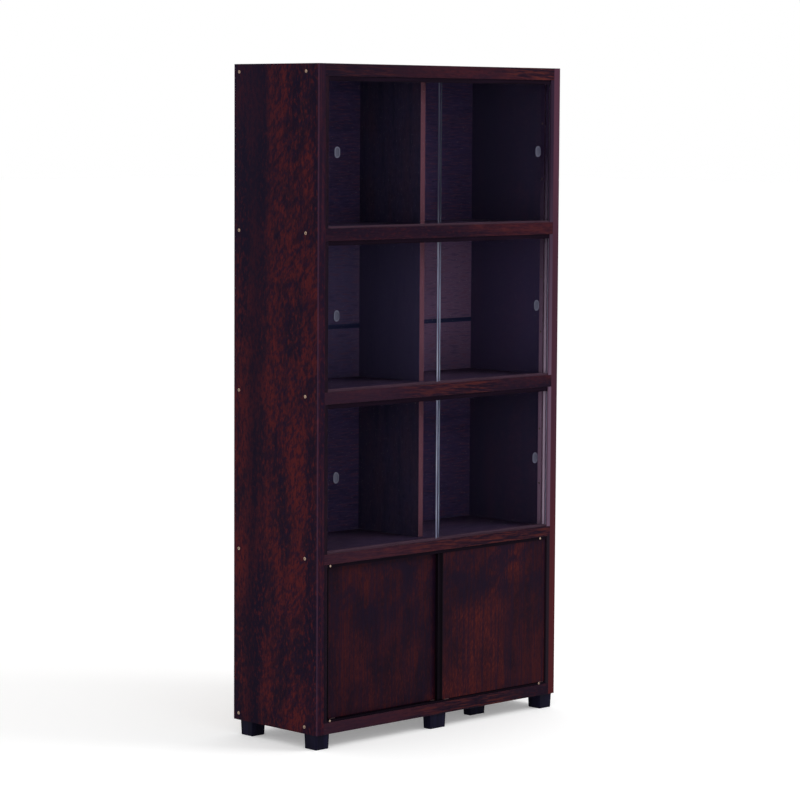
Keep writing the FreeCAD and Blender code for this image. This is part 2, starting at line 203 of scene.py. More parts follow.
floor_mesh = bpy.data.meshes.new("studio_floor")
floor_corners = [(-1, -1), (1, -1), (1, 1), (-1, 1)]
floor_mesh.from_pydata([(x * FLOOR_REACH, y * FLOOR_REACH, 0) for x, y in floor_corners], [],
                       [(0, 1, 2, 3)])
floor = bpy.data.objects.new("studio_floor", floor_mesh)
floor_paint, floor_tree, floor_shader = new_finish(
    "floor_paint", 0.9, 0.1, Base_Color=FLOOR_GREY, Emission_Color=(1, 1, 1, 1))
floor_tree.links.new(times(floor_tree, seen_rays(floor_tree), FLOOR_GLOW),
                     floor_shader.inputs["Emission Strength"])
floor_mesh.materials.append(floor_paint)
bpy.context.scene.collection.objects.link(floor)
tell(floor_paint)

# %% Two soft lamps
KEY_WATTS, FILL_WATTS = 55.0, 20.0


def soft_lamp(name, place, aim, width, height, watts):
    """A large flat lamp at a place, turned to face a point."""
    data = bpy.data.lights.new(name, "AREA")
    data.shape, data.size, data.size_y, data.energy = "RECTANGLE", width, height, watts
    lamp = bpy.data.objects.new(name, data)
    toward = Vector(aim) - Vector(place)
    lamp.matrix_world = (Matrix.Translation(place)
                         @ toward.to_track_quat("-Z", "Y").to_matrix().to_4x4())
    bpy.context.scene.collection.objects.link(lamp)
    print(name, watts, "W,", round(toward.length, 2), "m from what it lights")


soft_lamp("key_lamp", place=(1.9, -2.6, 3.1), aim=(0.2, 0.0, 1.2), width=1.6, height=1.6,
          watts=KEY_WATTS)
soft_lamp("fill_lamp", place=(-4.0, -3.4, 1.5), aim=(0.0, 0.0, 0.9), width=2.0, height=2.4,
          watts=FILL_WATTS)

# %% [markdown]
# ## Printed wood foil
#
# The boards aren't solid wood: paper printed with a dark mahogany pattern is glued round them and
# sealed. A scan of real wood could be wrapped on, but then every board shows the same figure and
# its scale depends on an unwrap. Here the pattern is built from noise in metres, so it has the
# right scale on every board: large red clouds, dark streaks along the grain, fine fibres, short
# pores, and in places the slanting mottle that wood has where a branch forks.

# %% Coordinates with the grain along Z
ALONG_Z, ALONG_X = (0.0, 0.0, 0.0), (0.0, math.radians(90), 0.0)


def grain_space(tree, grain, shift=(0.0, 0.0, 0.0)):
    """Object coordinates, turned so that Z runs along the grain and shifted to a fresh place."""
    place = add(tree, "ShaderNodeTexCoord").outputs["Object"]
    return add(tree, "ShaderNodeMapping",
               {"Vector": place, "Location": shift, "Rotation": grain}).outputs[0]


def grain_noise(tree, vector, per_metre, drawn_out, detail=2.0, roughness=0.5, turn=(0, 0, 0)):
    """Noise with so many spots to the metre, drawn out along Z and then turned."""
    stretched = add(tree, "ShaderNodeMapping",
                    {"Vector": vector, "Rotation": turn, "Scale": (1, 1, drawn_out)},
                    vector_type="TEXTURE")
    return add(tree, "ShaderNodeTexNoise",
               {"Vector": stretched.outputs[0], "Scale": per_metre, "Detail": detail,
                "Roughness": roughness}).outputs[0]


# %% Masks by place and by the way a face looks
def axis_of(tree, axis):
    """One of the object coordinates, in metres."""
    place = add(tree, "ShaderNodeTexCoord").outputs["Object"]
    return add(tree, "ShaderNodeSeparateXYZ", {0: place}).outputs[axis]


def looking(tree, way):
    """1 on faces that look a given way, to within 18 degrees, and 0 on those past 53 degrees."""
    normal = add(tree, "ShaderNodeTexCoord").outputs["Normal"]
    along = add(tree, "ShaderNodeVectorMath", {0: normal, 1: way}, operation="DOT_PRODUCT")
    return ease(tree, along.outputs["Value"], 0.6, 0.95)


# %% One more colour, and relief
def tinted(tree, amount, over):
    """Lays one more colour over whatever feeds the shader's Base Color."""
    socket = tree.nodes["Principled BSDF"].inputs["Base Color"]
    below = socket.links[0].from_socket
    tree.links.new(layer(tree, amount, below, over), socket)


def relief(tree, height, depth_mm):
    """Raises and lowers the surface's shading by a pattern, by a depth in millimetres."""
    bump = add(tree, "ShaderNodeBump", {"Height": height, "Distance": depth_mm / 1000})
    tree.links.new(bump.outputs[0], tree.nodes["Principled BSDF"].inputs["Normal"])


# %% The wood foil itself
PORE_INK = paint(12, 7, 13)


def wood_foil(name, grain, ground, cloud, streak, shift=(0.0, 0.0, 0.0), cloudy=0.8,
              drawn=1.8, streaky=0.6, flecky=0.5, gloss=0.02, roughness=0.34, relief_mm=0.05):
    """Dark foil with red clouds, bands along the grain, flecks, fibres and pores."""
    material, tree, shader = new_finish(name, roughness, gloss)
    space = grain_space(tree, grain, shift)
    clouds = grain_noise(tree, space, 9.0, drawn, detail=4.0, roughness=0.6)
    bands = grain_noise(tree, space, 19.0, 12.0, detail=3.0, roughness=0.55)
    flecks = grain_noise(tree, space, 150.0, 2.2, detail=3.0, roughness=0.6)
    fibres = grain_noise(tree, space, 260.0, 14.0, detail=3.0)
    pores = grain_noise(tree, space, 900.0, 16.0, detail=1.0)

    warmth = plus(tree, times(tree, clouds, 0.6), times(tree, bands, 0.4))
    colour = layer(tree, ease(tree, warmth, 0.43, 0.62, cloudy), ground, cloud)
    colour = layer(tree, ease(tree, bands, 0.50, 0.38, streaky), colour, streak)
    colour = layer(tree, ease(tree, flecks, 0.52, 0.66, flecky), colour, cloud)
    colour = layer(tree, ease(tree, flecks, 0.50, 0.38, flecky), colour, streak)
    colour = layer(tree, ease(tree, fibres, 0.50, 0.72, 0.45), colour, streak)
    colour = layer(tree, ease(tree, pores, 0.60, 0.72, 0.55), colour, PORE_INK)
    tree.links.new(colour, shader.inputs["Base Color"])
    # fibres are a little duller than what lies between them
    rough = plus(tree, ease(tree, fibres, 0.3, 0.75, 0.14), roughness - 0.05)
    tree.links.new(rough, shader.inputs["Roughness"])
    relief(tree, minus(tree, fibres, ease(tree, pores, 0.60, 0.72, 0.8)), relief_mm)
    return material


# %% [markdown]
# ## Sides
#
# Each side is one tall board. Its front arris is rounded, and a thin pale line, a painted highlight,
# runs down it from top to bottom. The front edge that faces the room is a separate strip of foil,
# and it is painted paler at the right-hand end, as painted light. Four materials could cover the
# board's faces, but masks in metres keep them in one, and an edge is an exact place, which noise
# isn't.

# %% Figure of the side boards
def mottled(tree, per_metre, where, strength, over):
    """Slanting blotches, as where a branch forked, kept to the places of a mask."""
    blotches = grain_noise(tree, grain_space(tree, ALONG_Z), per_metre, 2.4, detail=3.0,
                           roughness=0.55, turn=(math.radians(40), 0.0, 0.0))
    spots = times(tree, ease(tree, blotches, 0.50, 0.62), where)
    tinted(tree, times(tree, spots, strength), over)


def side_figure(tree, y, z):
    """Mottle in the front half, a dark heart streak behind it, and a darker rear half."""
    patches = grain_noise(tree, grain_space(tree, ALONG_Z, (0.0, 0.0, 0.35)), 3.0, 1.5, detail=1.0)
    where = times(tree, ease(tree, patches, 0.42, 0.56), ease(tree, y, 0.08, 0.0))
    mottled(tree, 42.0, where, 0.6, paint(18, 10, 28))
    mottled(tree, 115.0, ease(tree, y, 0.10, -0.02, 0.75), 0.8, paint(22, 13, 34))
    # the heart wanders about a line a quarter of the depth in from the rear edge
    wander = grain_noise(tree, grain_space(tree, ALONG_Z), 5.0, 4.0)
    heart = maths(tree, "MULTIPLY_ADD", wander, 0.12, 0.025)
    from_heart = maths(tree, "ABSOLUTE", minus(tree, y, heart))
    tinted(tree, ease(tree, from_heart, 0.055, 0.0, 0.65), paint(17, 10, 28))
    # the rear half is more violet too, most of all near the top
    rear = times(tree, ease(tree, y, -0.10, 0.16), ease(tree, z, 0.9, 1.75, 0.65))
    tinted(tree, rear, paint(21, 16, 35))


# %% Inner faces of the side boards
def middle_bay_painted_light(tree, z, strength=1.0):
    """A mask of the middle glass bay, into which most light falls, for the painted light there."""
    return times(tree, ease(tree, z, 1.38, 1.30), ease(tree, z, 0.85, 0.98, strength))


def side_inner_face(tree, x, z):
    """The faces that look to the middle lie in the shade of the bays, and are plainer. In the middle
    bay they are painted paler, as painted light.
    """
    normal = add(tree, "ShaderNodeTexCoord").outputs["Normal"]
    facing = add(tree, "ShaderNodeSeparateXYZ", {0: normal}).outputs[0]
    inward = ease(tree, times(tree, facing, x), -0.2, -0.4, 0.8)
    tinted(tree, inward,
           layer(tree, middle_bay_painted_light(tree, z), paint(52, 46, 69), paint(64, 55, 84)))


# %% Front strip and painted edge highlights of the side boards
HALF_WIDTH, HALF_DEPTH = 0.4575, 0.165
# how strong the painted highlights along the front arris and the rear edge are
PAINTED_EDGE_HIGHLIGHT = 0.3


def side_front_strip(tree, x, z):
    """The foil of the front edge: darker high up, finely lined, and to the right painted paler, as
    painted light, and redder.
    """
    front = looking(tree, (0, -1, 0))
    darker = plus(tree, ease(tree, z, 1.0, 1.75, 0.5), 0.25)
    tinted(tree, times(tree, front, darker), paint(28, 16, 32))
    lines = grain_noise(tree, grain_space(tree, ALONG_Z), 230.0, 60.0)
    tinted(tree, times(tree, front, ease(tree, lines, 0.50, 0.62, 0.32)), paint(66, 28, 38))
    # painted light: to the right the strip is painted paler, and redder low down
    pale = layer(tree, ease(tree, z, 1.2, 1.6), paint(63, 35, 48), paint(77, 46, 61))
    painted_light_colour = layer(tree, ease(tree, z, 0.9, 0.3), pale, paint(74, 29, 31))
    tinted(tree, times(tree, front, ease(tree, x, 0.0, 0.3, 0.85)), painted_light_colour)


def side_edge_highlights(tree, x, y):
    """Painted highlights: the thin pale lines along the rounded front arris and the rear edge."""
    to_side = minus(tree, HALF_WIDTH, maths(tree, "ABSOLUTE", x))
    to_front = plus(tree, y, HALF_DEPTH)
    # painted highlight along the rounded front arris
    arris = ease(tree, plus(tree, to_side, to_front), 0.0034, 0.0020, PAINTED_EDGE_HIGHLIGHT)
    tinted(tree, arris, paint(90, 62, 84))
    rear_edge_highlight = ease(tree, y, HALF_DEPTH - 0.0025, HALF_DEPTH - 0.0012, PAINTED_EDGE_HIGHLIGHT)
    tinted(tree, rear_edge_highlight, paint(80, 60, 84))


# %% Finish of the sides
def finish_of_sides():
    material = wood_foil(
        "side_foil", ALONG_Z, paint(36, 17, 30), paint(80, 27, 29), paint(18, 10, 30),
        cloudy=0.75, flecky=0.65, relief_mm=0.015)
    tree = material.node_tree
    x, y, z = (axis_of(tree, axis) for axis in range(3))
    side_figure(tree, y, z)
    side_inner_face(tree, x, z)
    side_front_strip(tree, x, z)
    side_edge_highlights(tree, x, y)
    return material


side_foil = finish_of_sides()
tell(side_foil)

# %% [markdown]
# ## Rails, boards and uprights
#
# The rails in front carry the same foil, but with the grain lengthwise, a clearer orange figure and
# a harder shine, because that edge was lacquered. Shelves run the same way. The uprights that split
# the bays stand on end, so their grain stands too, and their front edge has a paler edge band. A
# foil for every board could be mixed by hand. One function with other colours and another shift
# does it, and only what is special to a part is added by a mask.

# %% Flames on the rails
def rail_flames(tree, x, z):
    """Thin orange tongues with a dark line beside each, in patches and mostly to the right."""
    space = grain_space(tree, ALONG_X, (0.0, 0.2, 0.5))
    flame = grain_noise(tree, space, 270.0, 16.0, detail=3.0, roughness=0.65,
                        turn=(0.0, 0.03, 0.0))
    patches = grain_noise(tree, space, 7.0, 3.0, detail=1.0)
    # the rail under the top bay has the fewest
    upper_rail = times(tree, ease(tree, z, 1.30, 1.33), ease(tree, z, 1.40, 1.38))
    to_right = times(tree, ease(tree, x, -0.35, 0.25),
                     maths(tree, "MULTIPLY_ADD", upper_rail, -0.75, 1.0))
    where = times(tree, ease(tree, patches, 0.36, 0.56),
                  maths(tree, "MULTIPLY_ADD", to_right, 0.65, 0.35))
    tongues = times(tree, ease(tree, flame, 0.47, 0.62, 0.6), where)
    tinted(tree, tongues, paint(84, 37, 31))
    beside_them = times(tree, ease(tree, flame, 0.47, 0.37, 0.8), where)
    tinted(tree, beside_them, paint(20, 11, 24))


# %% Finish of the rails
def finish_of_rails():
    material = wood_foil(
        "rail_foil", ALONG_X, paint(35, 18, 31), paint(70, 27, 31), paint(20, 11, 27),
        shift=(0.31, 0.0, 0.12), cloudy=0.55, drawn=4.0, flecky=0.25, roughness=0.28)
    tree = material.node_tree
    x, z = axis_of(tree, 0), axis_of(tree, 2)
    # the topmost rail runs from violet at the left to red at the right
    top_rail = ease(tree, z, 1.70, 1.76)
    tinted(tree, times(tree, top_rail, ease(tree, x, 0.2, -0.4, 0.85)), paint(20, 13, 28))
    # those from the middle one down are paler at the left
    paler = times(tree, ease(tree, z, 1.20, 1.10), ease(tree, x, 0.1, -0.3, 0.4))
    tinted(tree, paler, paint(54, 32, 46))
    rail_flames(tree, x, z)
    return material


rail_foil = finish_of_rails()
tell(rail_foil)

# %% Finish of the boards and of the uprights
board_foil = wood_foil(
    "board_foil", ALONG_X, paint(55, 43, 65), paint(69, 46, 60), paint(43, 34, 56),
    shift=(0.0, 0.6, 0.0), cloudy=0.35, drawn=5.0, streaky=0.4, flecky=0.2, gloss=0.04,
    roughness=0.5, relief_mm=0.01)


def finish_of_uprights():
    material = wood_foil(
        "upright_foil", ALONG_Z, paint(51, 45, 68), paint(61, 44, 58), paint(40, 36, 57),
        shift=(0.9, 0.0, 0.0), cloudy=0.5, flecky=0.3, roughness=0.3, relief_mm=0.01)
    tree = material.node_tree
    # painted light: the uprights are painted paler in the middle bay
    tinted(tree, middle_bay_painted_light(tree, axis_of(tree, 2), 0.7), paint(65, 58, 86))
    edge_band = times(tree, looking(tree, (0, -1, 0)), 0.85)
    tinted(tree, edge_band, paint(94, 56, 64))
    return material


upright_foil = finish_of_uprights()
tell(board_foil, upright_foil)

# %% [markdown]
# ## Jambs
#
# The jambs are the grooved strips on the inner sides that the panes run into. They are wrapped
# profiles. The faces of the right-hand ones and the ribs between their grooves are painted pale, as
# painted light and painted reflection, with a painted highlight on the middle rib, more so the lower
# the bay, and those of the cupboard are painted nearly black, as painted shade. This light could be
# painted by hand on each strip. A few masks that know the grooves' places do it on all of them.

# %% Finish of the jambs
# across the depth and up the height: from where a mask is 0 to where it is full, in metres
BEHIND_REAR_GROOVE, OUTERMOST = (-0.1405, -0.1395), (-0.1632, -0.1642)
RIB_FROM, RIB_TO = (-0.1545, -0.1538), (-0.1452, -0.1458)
# heights where the painted light on the jambs grows lower down, and where the painted shade of the
# cupboard begins
PAINTED_LIGHT_LOWER_DOWN, PAINTED_SHADE_IN_CUPBOARD = (1.62, 0.78), (0.51, 0.50)


def finish_of_jambs():
    material = wood_foil(
        "jamb_foil", ALONG_Z, paint(24, 14, 26), paint(38, 18, 28), paint(16, 10, 22),
        shift=(0.0, 0.0, 0.7), cloudy=0.5, streaky=0.5, roughness=0.3)
    tree = material.node_tree
    x, y, z = (axis_of(tree, axis) for axis in range(3))
    to_right = ease(tree, x, 0.0, 0.1)
    inward = times(tree, looking(tree, (-1, 0, 0)), to_right)
    forward = times(tree, looking(tree, (0, -1, 0)), to_right)
    rib = times(tree, ease(tree, y, *RIB_FROM), ease(tree, y, *RIB_TO))
    # painted light and highlights on the right-hand jambs: mask of the faces, colour high up, colour
    # low down
    painted_jamb_light = [(inward, paint(54, 37, 56), paint(114, 86, 106)),
              (forward, paint(54, 37, 56), paint(118, 90, 110)),
              (times(tree, inward, ease(tree, y, *BEHIND_REAR_GROOVE)),
               paint(45, 34, 57), paint(130, 101, 123)),
              (times(tree, inward, rib), paint(43, 33, 55), paint(192, 167, 187)),
              (times(tree, forward, ease(tree, y, *OUTERMOST)),
               paint(38, 25, 41), paint(90, 70, 88))]
    painted_light_lower_down = ease(tree, z, *PAINTED_LIGHT_LOWER_DOWN)
    for where, high_up, low_down in painted_jamb_light:
        tinted(tree, times(tree, where, 0.9), layer(tree, painted_light_lower_down, high_up, low_down))
    # painted shade: in the cupboard the right jamb is painted nearly black, as the shadow gap beside
    # the door
    painted_shade_in_cupboard = ease(tree, z, *PAINTED_SHADE_IN_CUPBOARD)
    tinted(tree, times(tree, painted_shade_in_cupboard, times(tree, to_right, 0.92)), paint(10, 7, 15))
    return material


jamb_foil = finish_of_jambs()
tell(jamb_foil)

# %% [markdown]
# ## The back
#
# The back is two sheets of thin hardboard with a cheaper print: straight lengthwise grain with
# short reddish dashes, a little bluer than the boards, painted paler as painted light where the
# middle bay gets the light, and the bare brown board behind. Two materials could be set face by
# face. One serves both sides, because a mask on the normal can tell them apart.

# %% Finish of the back sheets
def finish_of_back():
    material = wood_foil(
        "back_foil", ALONG_X, paint(61, 50, 82), paint(70, 50, 70), paint(46, 39, 66),
        shift=(0.2, 0.3, 0.0), cloudy=0.35, drawn=5.0, streaky=0.5, flecky=0.2, roughness=0.45,
        relief_mm=0.015)
    tree = material.node_tree
    x, z = axis_of(tree, 0), axis_of(tree, 2)
    # painted light: in the middle bay the print is painted a pale violet, and a pink on the right
    back_painted_light = times(tree, ease(tree, z, 1.37, 1.28), ease(tree, z, 0.80, 1.10, 0.85))
    tinted(tree, back_painted_light,
           layer(tree, ease(tree, x, -0.05, 0.05), paint(82, 71, 102), paint(118, 91, 119)))
    # short reddish dashes along the grain, and dark ones between them
    space = grain_space(tree, ALONG_X)
    dashes = grain_noise(tree, space, 210.0, 9.0, detail=3.0, roughness=0.6)
    tinted(tree, ease(tree, dashes, 0.50, 0.66, 0.35), paint(96, 54, 66))
    tinted(tree, ease(tree, dashes, 0.50, 0.36, 0.35), paint(46, 38, 66))
    # the rear face is bare hardboard, brown and slightly blotched
    pulp = grain_noise(tree, space, 240.0, 1.3, detail=4.0, roughness=0.6)
    board = layer(tree, ease(tree, pulp, 0.3, 0.7), paint(84, 60, 44), paint(122, 92, 68))
    tinted(tree, looking(tree, (0, 1, 0)), board)
    return material


back_foil = finish_of_back()
tell(back_foil)

# %% [markdown]
# ## Doors
#
# The two cupboard doors are 8 mm boards in the same foil as the sides. The print glows in a warm
# band that slants across the right-hand door, has dark blots in the upper half, and a fine straight
# grain over all of it. A band could be drawn as a shape, but its edge would look cut. Here noise is
# taken off the distance to a slanting line, so the band breaks up into patches by itself.

# %% The warm band on the doors
def door_glow(tree, space, x, z):
    """Warm patches with orange flecks, most of them near a line that leans to the right."""
    glow = grain_noise(tree, space, 9.0, 1.2, detail=3.0)
    band_middle = maths(tree, "MULTIPLY_ADD", z, 0.45, 0.045)
    from_band = maths(tree, "ABSOLUTE", minus(tree, x, band_middle))
    ragged = maths(tree, "MULTIPLY_ADD", glow, -0.35, plus(tree, from_band, 0.175))
    glowing = plus(tree, ease(tree, ragged, 0.16, 0.0, 0.6), ease(tree, glow, 0.45, 0.65, 0.3))
    tinted(tree, times(tree, glowing, 0.35), paint(68, 23, 25))
    flecks = grain_noise(tree, space, 330.0, 4.5, detail=3.0, roughness=0.6,
                         turn=(0.0, math.radians(12), 0.0))
    tinted(tree, times(tree, ease(tree, flecks, 0.44, 0.66, 0.6), glowing), paint(94, 36, 27))


# %% Finish of the wooden doors
def finish_of_doors():
    material = wood_foil(
        "door_foil", ALONG_Z, paint(28, 12, 23), paint(58, 20, 23), paint(18, 10, 26),
        shift=(0.0, 0.4, 0.35), cloudy=0.7, drawn=1.2, streaky=0.25, flecky=0.35)
    tree = material.node_tree
    x, z = axis_of(tree, 0), axis_of(tree, 2)
    space = grain_space(tree, ALONG_Z, (0.3, 0.0, 0.0))
    door_glow(tree, space, x, z)
    # dark blots in the upper half
    blots = grain_noise(tree, space, 15.0, 1.3, detail=4.0, roughness=0.65,
                        turn=(0.0, math.radians(38), 0.0))
    upper_half = ease(tree, z, 0.16, 0.46)
    tinted(tree, times(tree, ease(tree, blots, 0.42, 0.60, 0.8), upper_half), paint(20, 12, 29))
    # a fine straight grain over it all
    lines = grain_noise(tree, grain_space(tree, ALONG_Z), 190.0, 45.0, detail=3.0)
    tinted(tree, ease(tree, lines, 0.46, 0.62, 0.6), paint(24, 14, 31))
    return material


door_foil = finish_of_doors()
tell(door_foil)

# %% [markdown]
# ## Plastics
#
# Feet, grips, tracks, glides and pulls are plastic, and plastic is never quite even: it has a very
# fine orange-peel skin and, on an extrusion, faint lines along its length. Each could have a flat
# colour, but that looks like a drawing. One function makes them all, from a colour, a lighter
# shade of it, a shine and the direction of those lines.

# %% Moulded and extruded plastic
def plastic(name, colour, lighter, roughness, gloss, lines=None, lines_per_metre=320.0):
    """Plastic with an orange-peel skin, and lines along an extruded length."""
    material, tree, shader = new_finish(name, roughness, gloss)
    space = grain_space(tree, lines or ALONG_Z)
    skin = grain_noise(tree, space, 700.0, 1.0)
    smears = grain_noise(tree, space, 26.0, 3.0, detail=3.0)
    shade = ease(tree, smears, 0.35, 0.7)
    height = skin
    if lines is not None:
        drawn = grain_noise(tree, space, lines_per_metre, 60.0)
        shade = maths(tree, "MULTIPLY_ADD", ease(tree, drawn, 0.4, 0.65), 0.6,
                      times(tree, shade, 0.4))
        height = plus(tree, drawn, times(tree, skin, 0.4))
    tree.links.new(layer(tree, shade, colour, lighter), shader.inputs["Base Color"])
    rough = maths(tree, "MULTIPLY_ADD", smears, 0.2, roughness - 0.1)
    tree.links.new(rough, shader.inputs["Roughness"])
    relief(tree, height, 0.03)
    return material


# %% Plastics of one colour all over
foot_plastic = plastic("foot_plastic", paint(14, 12, 27), paint(23, 21, 42), 0.42, 0.03,
                       lines=ALONG_Z, lines_per_metre=90.0)
grip_plastic = plastic("grip_plastic", paint(10, 6, 12), paint(19, 12, 21), 0.4, 0.02,
                       lines=ALONG_Z)
upper_track_plastic = plastic("upper_track_plastic", paint(16, 8, 18), paint(24, 13, 26), 0.45,
                              0.01, lines=ALONG_X)
door_track_plastic = plastic("door_track_plastic", paint(12, 7, 15), paint(21, 12, 22), 0.45,
                             0.01, lines=ALONG_X)
joint_plastic = plastic("joint_plastic", paint(34, 36, 62), paint(46, 48, 80), 0.45, 0.04,
                        lines=ALONG_X)
nylon = plastic("nylon", paint(92, 70, 72), paint(112, 90, 90), 0.5, 0.2)
tell(foot_plastic, grip_plastic, upper_track_plastic, door_track_plastic, joint_plastic, nylon)

# %% Pulls, with painted shade in their dished middle
# how far forward the rims lie, on the front panes and on the rear ones
FRONT_PULL_RIM, REAR_PULL_RIM = -0.1611, -0.1466


def finish_of_pulls():
    material = plastic("pull_plastic", paint(54, 54, 73), paint(73, 73, 93), 0.35, 0.3)
    tree = material.node_tree
    from_rims = [maths(tree, "ABSOLUTE", minus(tree, axis_of(tree, 1), rim))
                 for rim in (FRONT_PULL_RIM, REAR_PULL_RIM)]
    # painted shade in the dished middle, which lies deeper than the rim
    painted_dish_shade = ease(tree, maths(tree, "MINIMUM", *from_rims), 0.0003, 0.0008, 0.7)
    tinted(tree, painted_dish_shade, paint(36, 37, 56))
    return material


pull_plastic = finish_of_pulls()
tell(pull_plastic)

# %% Lower tracks, with a painted highlight on top, painted paler the lower they are, as painted reflection
def finish_of_lower_tracks():
    material = plastic("lower_track_plastic", paint(48, 30, 42), paint(62, 40, 54), 0.35, 0.06,
                       lines=ALONG_X)
    tree = material.node_tree
    # painted highlight on the upward faces, and painted paler the lower the track, as painted
    # reflection
    painted_light_lower_down = ease(tree, axis_of(tree, 2), 1.40, 1.00)
    tinted(tree, looking(tree, (0, 0, 1)),
           layer(tree, painted_light_lower_down, paint(62, 44, 58), paint(98, 74, 90)))
    return material


lower_track_plastic = finish_of_lower_tracks()
tell(lower_track_plastic)

# %% [markdown]
# ## Glass
#
# The panes are 5 mm float glass with ground edges. Real glass has an index of 1.5 and would mirror
# so much of the white room that the dark bays turn grey, so the index here is close to 1. It would
# also throw slow, noisy light through itself, so rays from lamps and from walls pass it as if it
# were open, and only what the eye follows meets the glass. The ground edges scatter light. They
# could be frosted glass, but a pale, rough skin looks the same from outside and is much quicker.

# %% Finish of the panes
GLASS_INDEX = 1.02
GLASS_TINT, OPEN_TINT = (0.94, 0.96, 0.97, 1), (0.95, 0.96, 0.97, 1)


def finish_of_glass():
    material, tree, shader = new_finish("glass", 0.0, 0.5, IOR=GLASS_INDEX,
                                        Transmission_Weight=1.0, Base_Color=GLASS_TINT)
    open_air = add(tree, "ShaderNodeBsdfTransparent", {"Color": OPEN_TINT})
    rays = add(tree, "ShaderNodeLightPath")
    lighting = maths(tree, "MAXIMUM", rays.outputs["Is Shadow Ray"], rays.outputs["Is Diffuse Ray"])
    mixed = add(tree, "ShaderNodeMixShader", {0: lighting, 1: shader.outputs[0],
                                              2: open_air.outputs[0]})
    tree.links.new(mixed.outputs[0], tree.nodes["Material Output"].inputs["Surface"])
    return material


def finish_of_ground_edges():
    """Pale and rough, but dark in the top bay, where less light reaches them."""
    material = plastic("ground_edge", paint(128, 130, 156), paint(164, 168, 190), 0.5, 0.3)
    tree = material.node_tree
    tinted(tree, ease(tree, axis_of(tree, 2), 1.20, 1.45, 0.94), paint(40, 39, 60))
    return material


glass, ground_edge = finish_of_glass(), finish_of_ground_edges()
tell(glass, ground_edge)

# %% Panes with ground edges
BAYS, LEFT_AND_RIGHT = ("lower", "middle", "upper"), ("left", "right")
WELD = 1e-6     # metres between points that are one
FLAT = 0.01     # radians between faces that are one
ARRIS = 0.0005  # metres taken off a sharp edge
BROAD = 0.95    # how squarely a broad face looks forward or back


def pane_with_edges(bay, side):
    """A packed pane again, with its sharp edges taken off and the ground faces marked."""
    node = bay + "_bay_" + side + "_glass"
    work = bmesh.new()
    work.from_mesh(nodes[node].data)
    bmesh.ops.remove_doubles(work, verts=work.verts, dist=WELD)
    bmesh.ops.dissolve_limit(work, angle_limit=FLAT, verts=work.verts, edges=work.edges)
    bmesh.ops.bevel(work, geom=work.edges[:], offset=ARRIS, segments=1, affect="EDGES")
    bmesh.ops.recalc_face_normals(work, faces=work.faces)
    for face in work.faces:
        face.material_index = 0 if abs(face.normal.y) > BROAD else 1
    mesh = bpy.data.meshes.new(node + "_ground")
    work.to_mesh(mesh)
    work.free()
    mesh.materials.append(glass)
    mesh.materials.append(ground_edge)
    piece = bpy.data.objects.new(bay + "_" + side + "_pane_with_edges", mesh)
    bpy.context.scene.collection.objects.link(piece)
    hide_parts(node)
    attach(piece, bay + "_" + side + "_pane")
    return piece


panes = [pane_with_edges(bay, side) for bay in BAYS for side in LEFT_AND_RIGHT]
print(len(panes), "panes,", sum(len(pane.data.polygons) for pane in panes), "faces")

# %% [markdown]
# ## Metal and dowel wood
#
# The screws are brass-plated and have gone a little dull, and those in the jambs duller still. The
# nails of the back are bright steel, and the dowels are plain beech. Bare metal could be one
# colour, but at this size it is the cloudy patches in colour and shine that make it look plated.

# %% Finishes of brass and steel
def metal(name, colour, dull, roughness):
    """Plated metal with dull patches, and with more and less shine in them."""
    material, tree, shader = new_finish(name, roughness, 0.5, Metallic=1.0)
    patches = grain_noise(tree, grain_space(tree, ALONG_Z), 420.0, 1.0, detail=3.0)
    tree.links.new(layer(tree, ease(tree, patches, 0.4, 0.7), colour, dull),
                   shader.inputs["Base Color"])
    rough = maths(tree, "MULTIPLY_ADD", patches, 0.3, roughness - 0.15)
    tree.links.new(rough, shader.inputs["Roughness"])
    return material


brass = metal("brass", paint(176, 152, 134), paint(122, 100, 88), 0.42)
dull_brass = metal("dull_brass", paint(112, 92, 90), paint(70, 56, 60), 0.45)
steel = metal("steel", paint(196, 192, 186), paint(140, 136, 130), 0.3)
tell(brass, dull_brass, steel)

# %% Finish of the dowels
beech, beech_tree, beech_shader = new_finish("beech", 0.6, 0.3)
beech_fibres = grain_noise(beech_tree, grain_space(beech_tree, ALONG_X), 900.0, 12.0)
beech_tree.links.new(layer(beech_tree, beech_fibres, paint(176, 132, 92), paint(206, 168, 124)),
                     beech_shader.inputs["Base Color"])
tell(beech)

# %% [markdown]
# ## Screws, studs and nails
#
# Four kinds of headed pin hold the cabinet together: brass screws with a cross recess through the
# sides, small ones in the jambs, plain brass studs on the door tracks, and flat nails in the back.
# All fifty-five could be modelled by hand, or one could be copied by a loop. A tree of Geometry
# Nodes does it instead: it steers the rings of a plain cylinder into the outline of a pin, sets
# one on every point, turns each about itself by chance, as a real screw stops where it is tight,
# and makes the other kinds from the same few sizes.

# %% Read from the CAD where the pins stand
def solids_in(node):
    """The lowest and highest corner of every separate solid in a CAD node."""
    work = bmesh.new()
    work.from_mesh(nodes[node].data)
    bmesh.ops.remove_doubles(work, verts=work.verts, dist=WELD)
    corners, left = [], set(work.verts)
    while left:
        group, edge_of_group = [], [left.pop()]
        while edge_of_group:
            vert = edge_of_group.pop()
            group.append(vert.co.copy())
            near = {edge.other_vert(vert) for edge in vert.link_edges} & left
            left -= near
            edge_of_group += near
        low = tuple(round(min(point[axis] for point in group), 6) for axis in range(3))
        high = tuple(round(max(point[axis] for point in group), 6) for axis in range(3))
        corners.append((low, high))
    work.free()
    return sorted(corners)


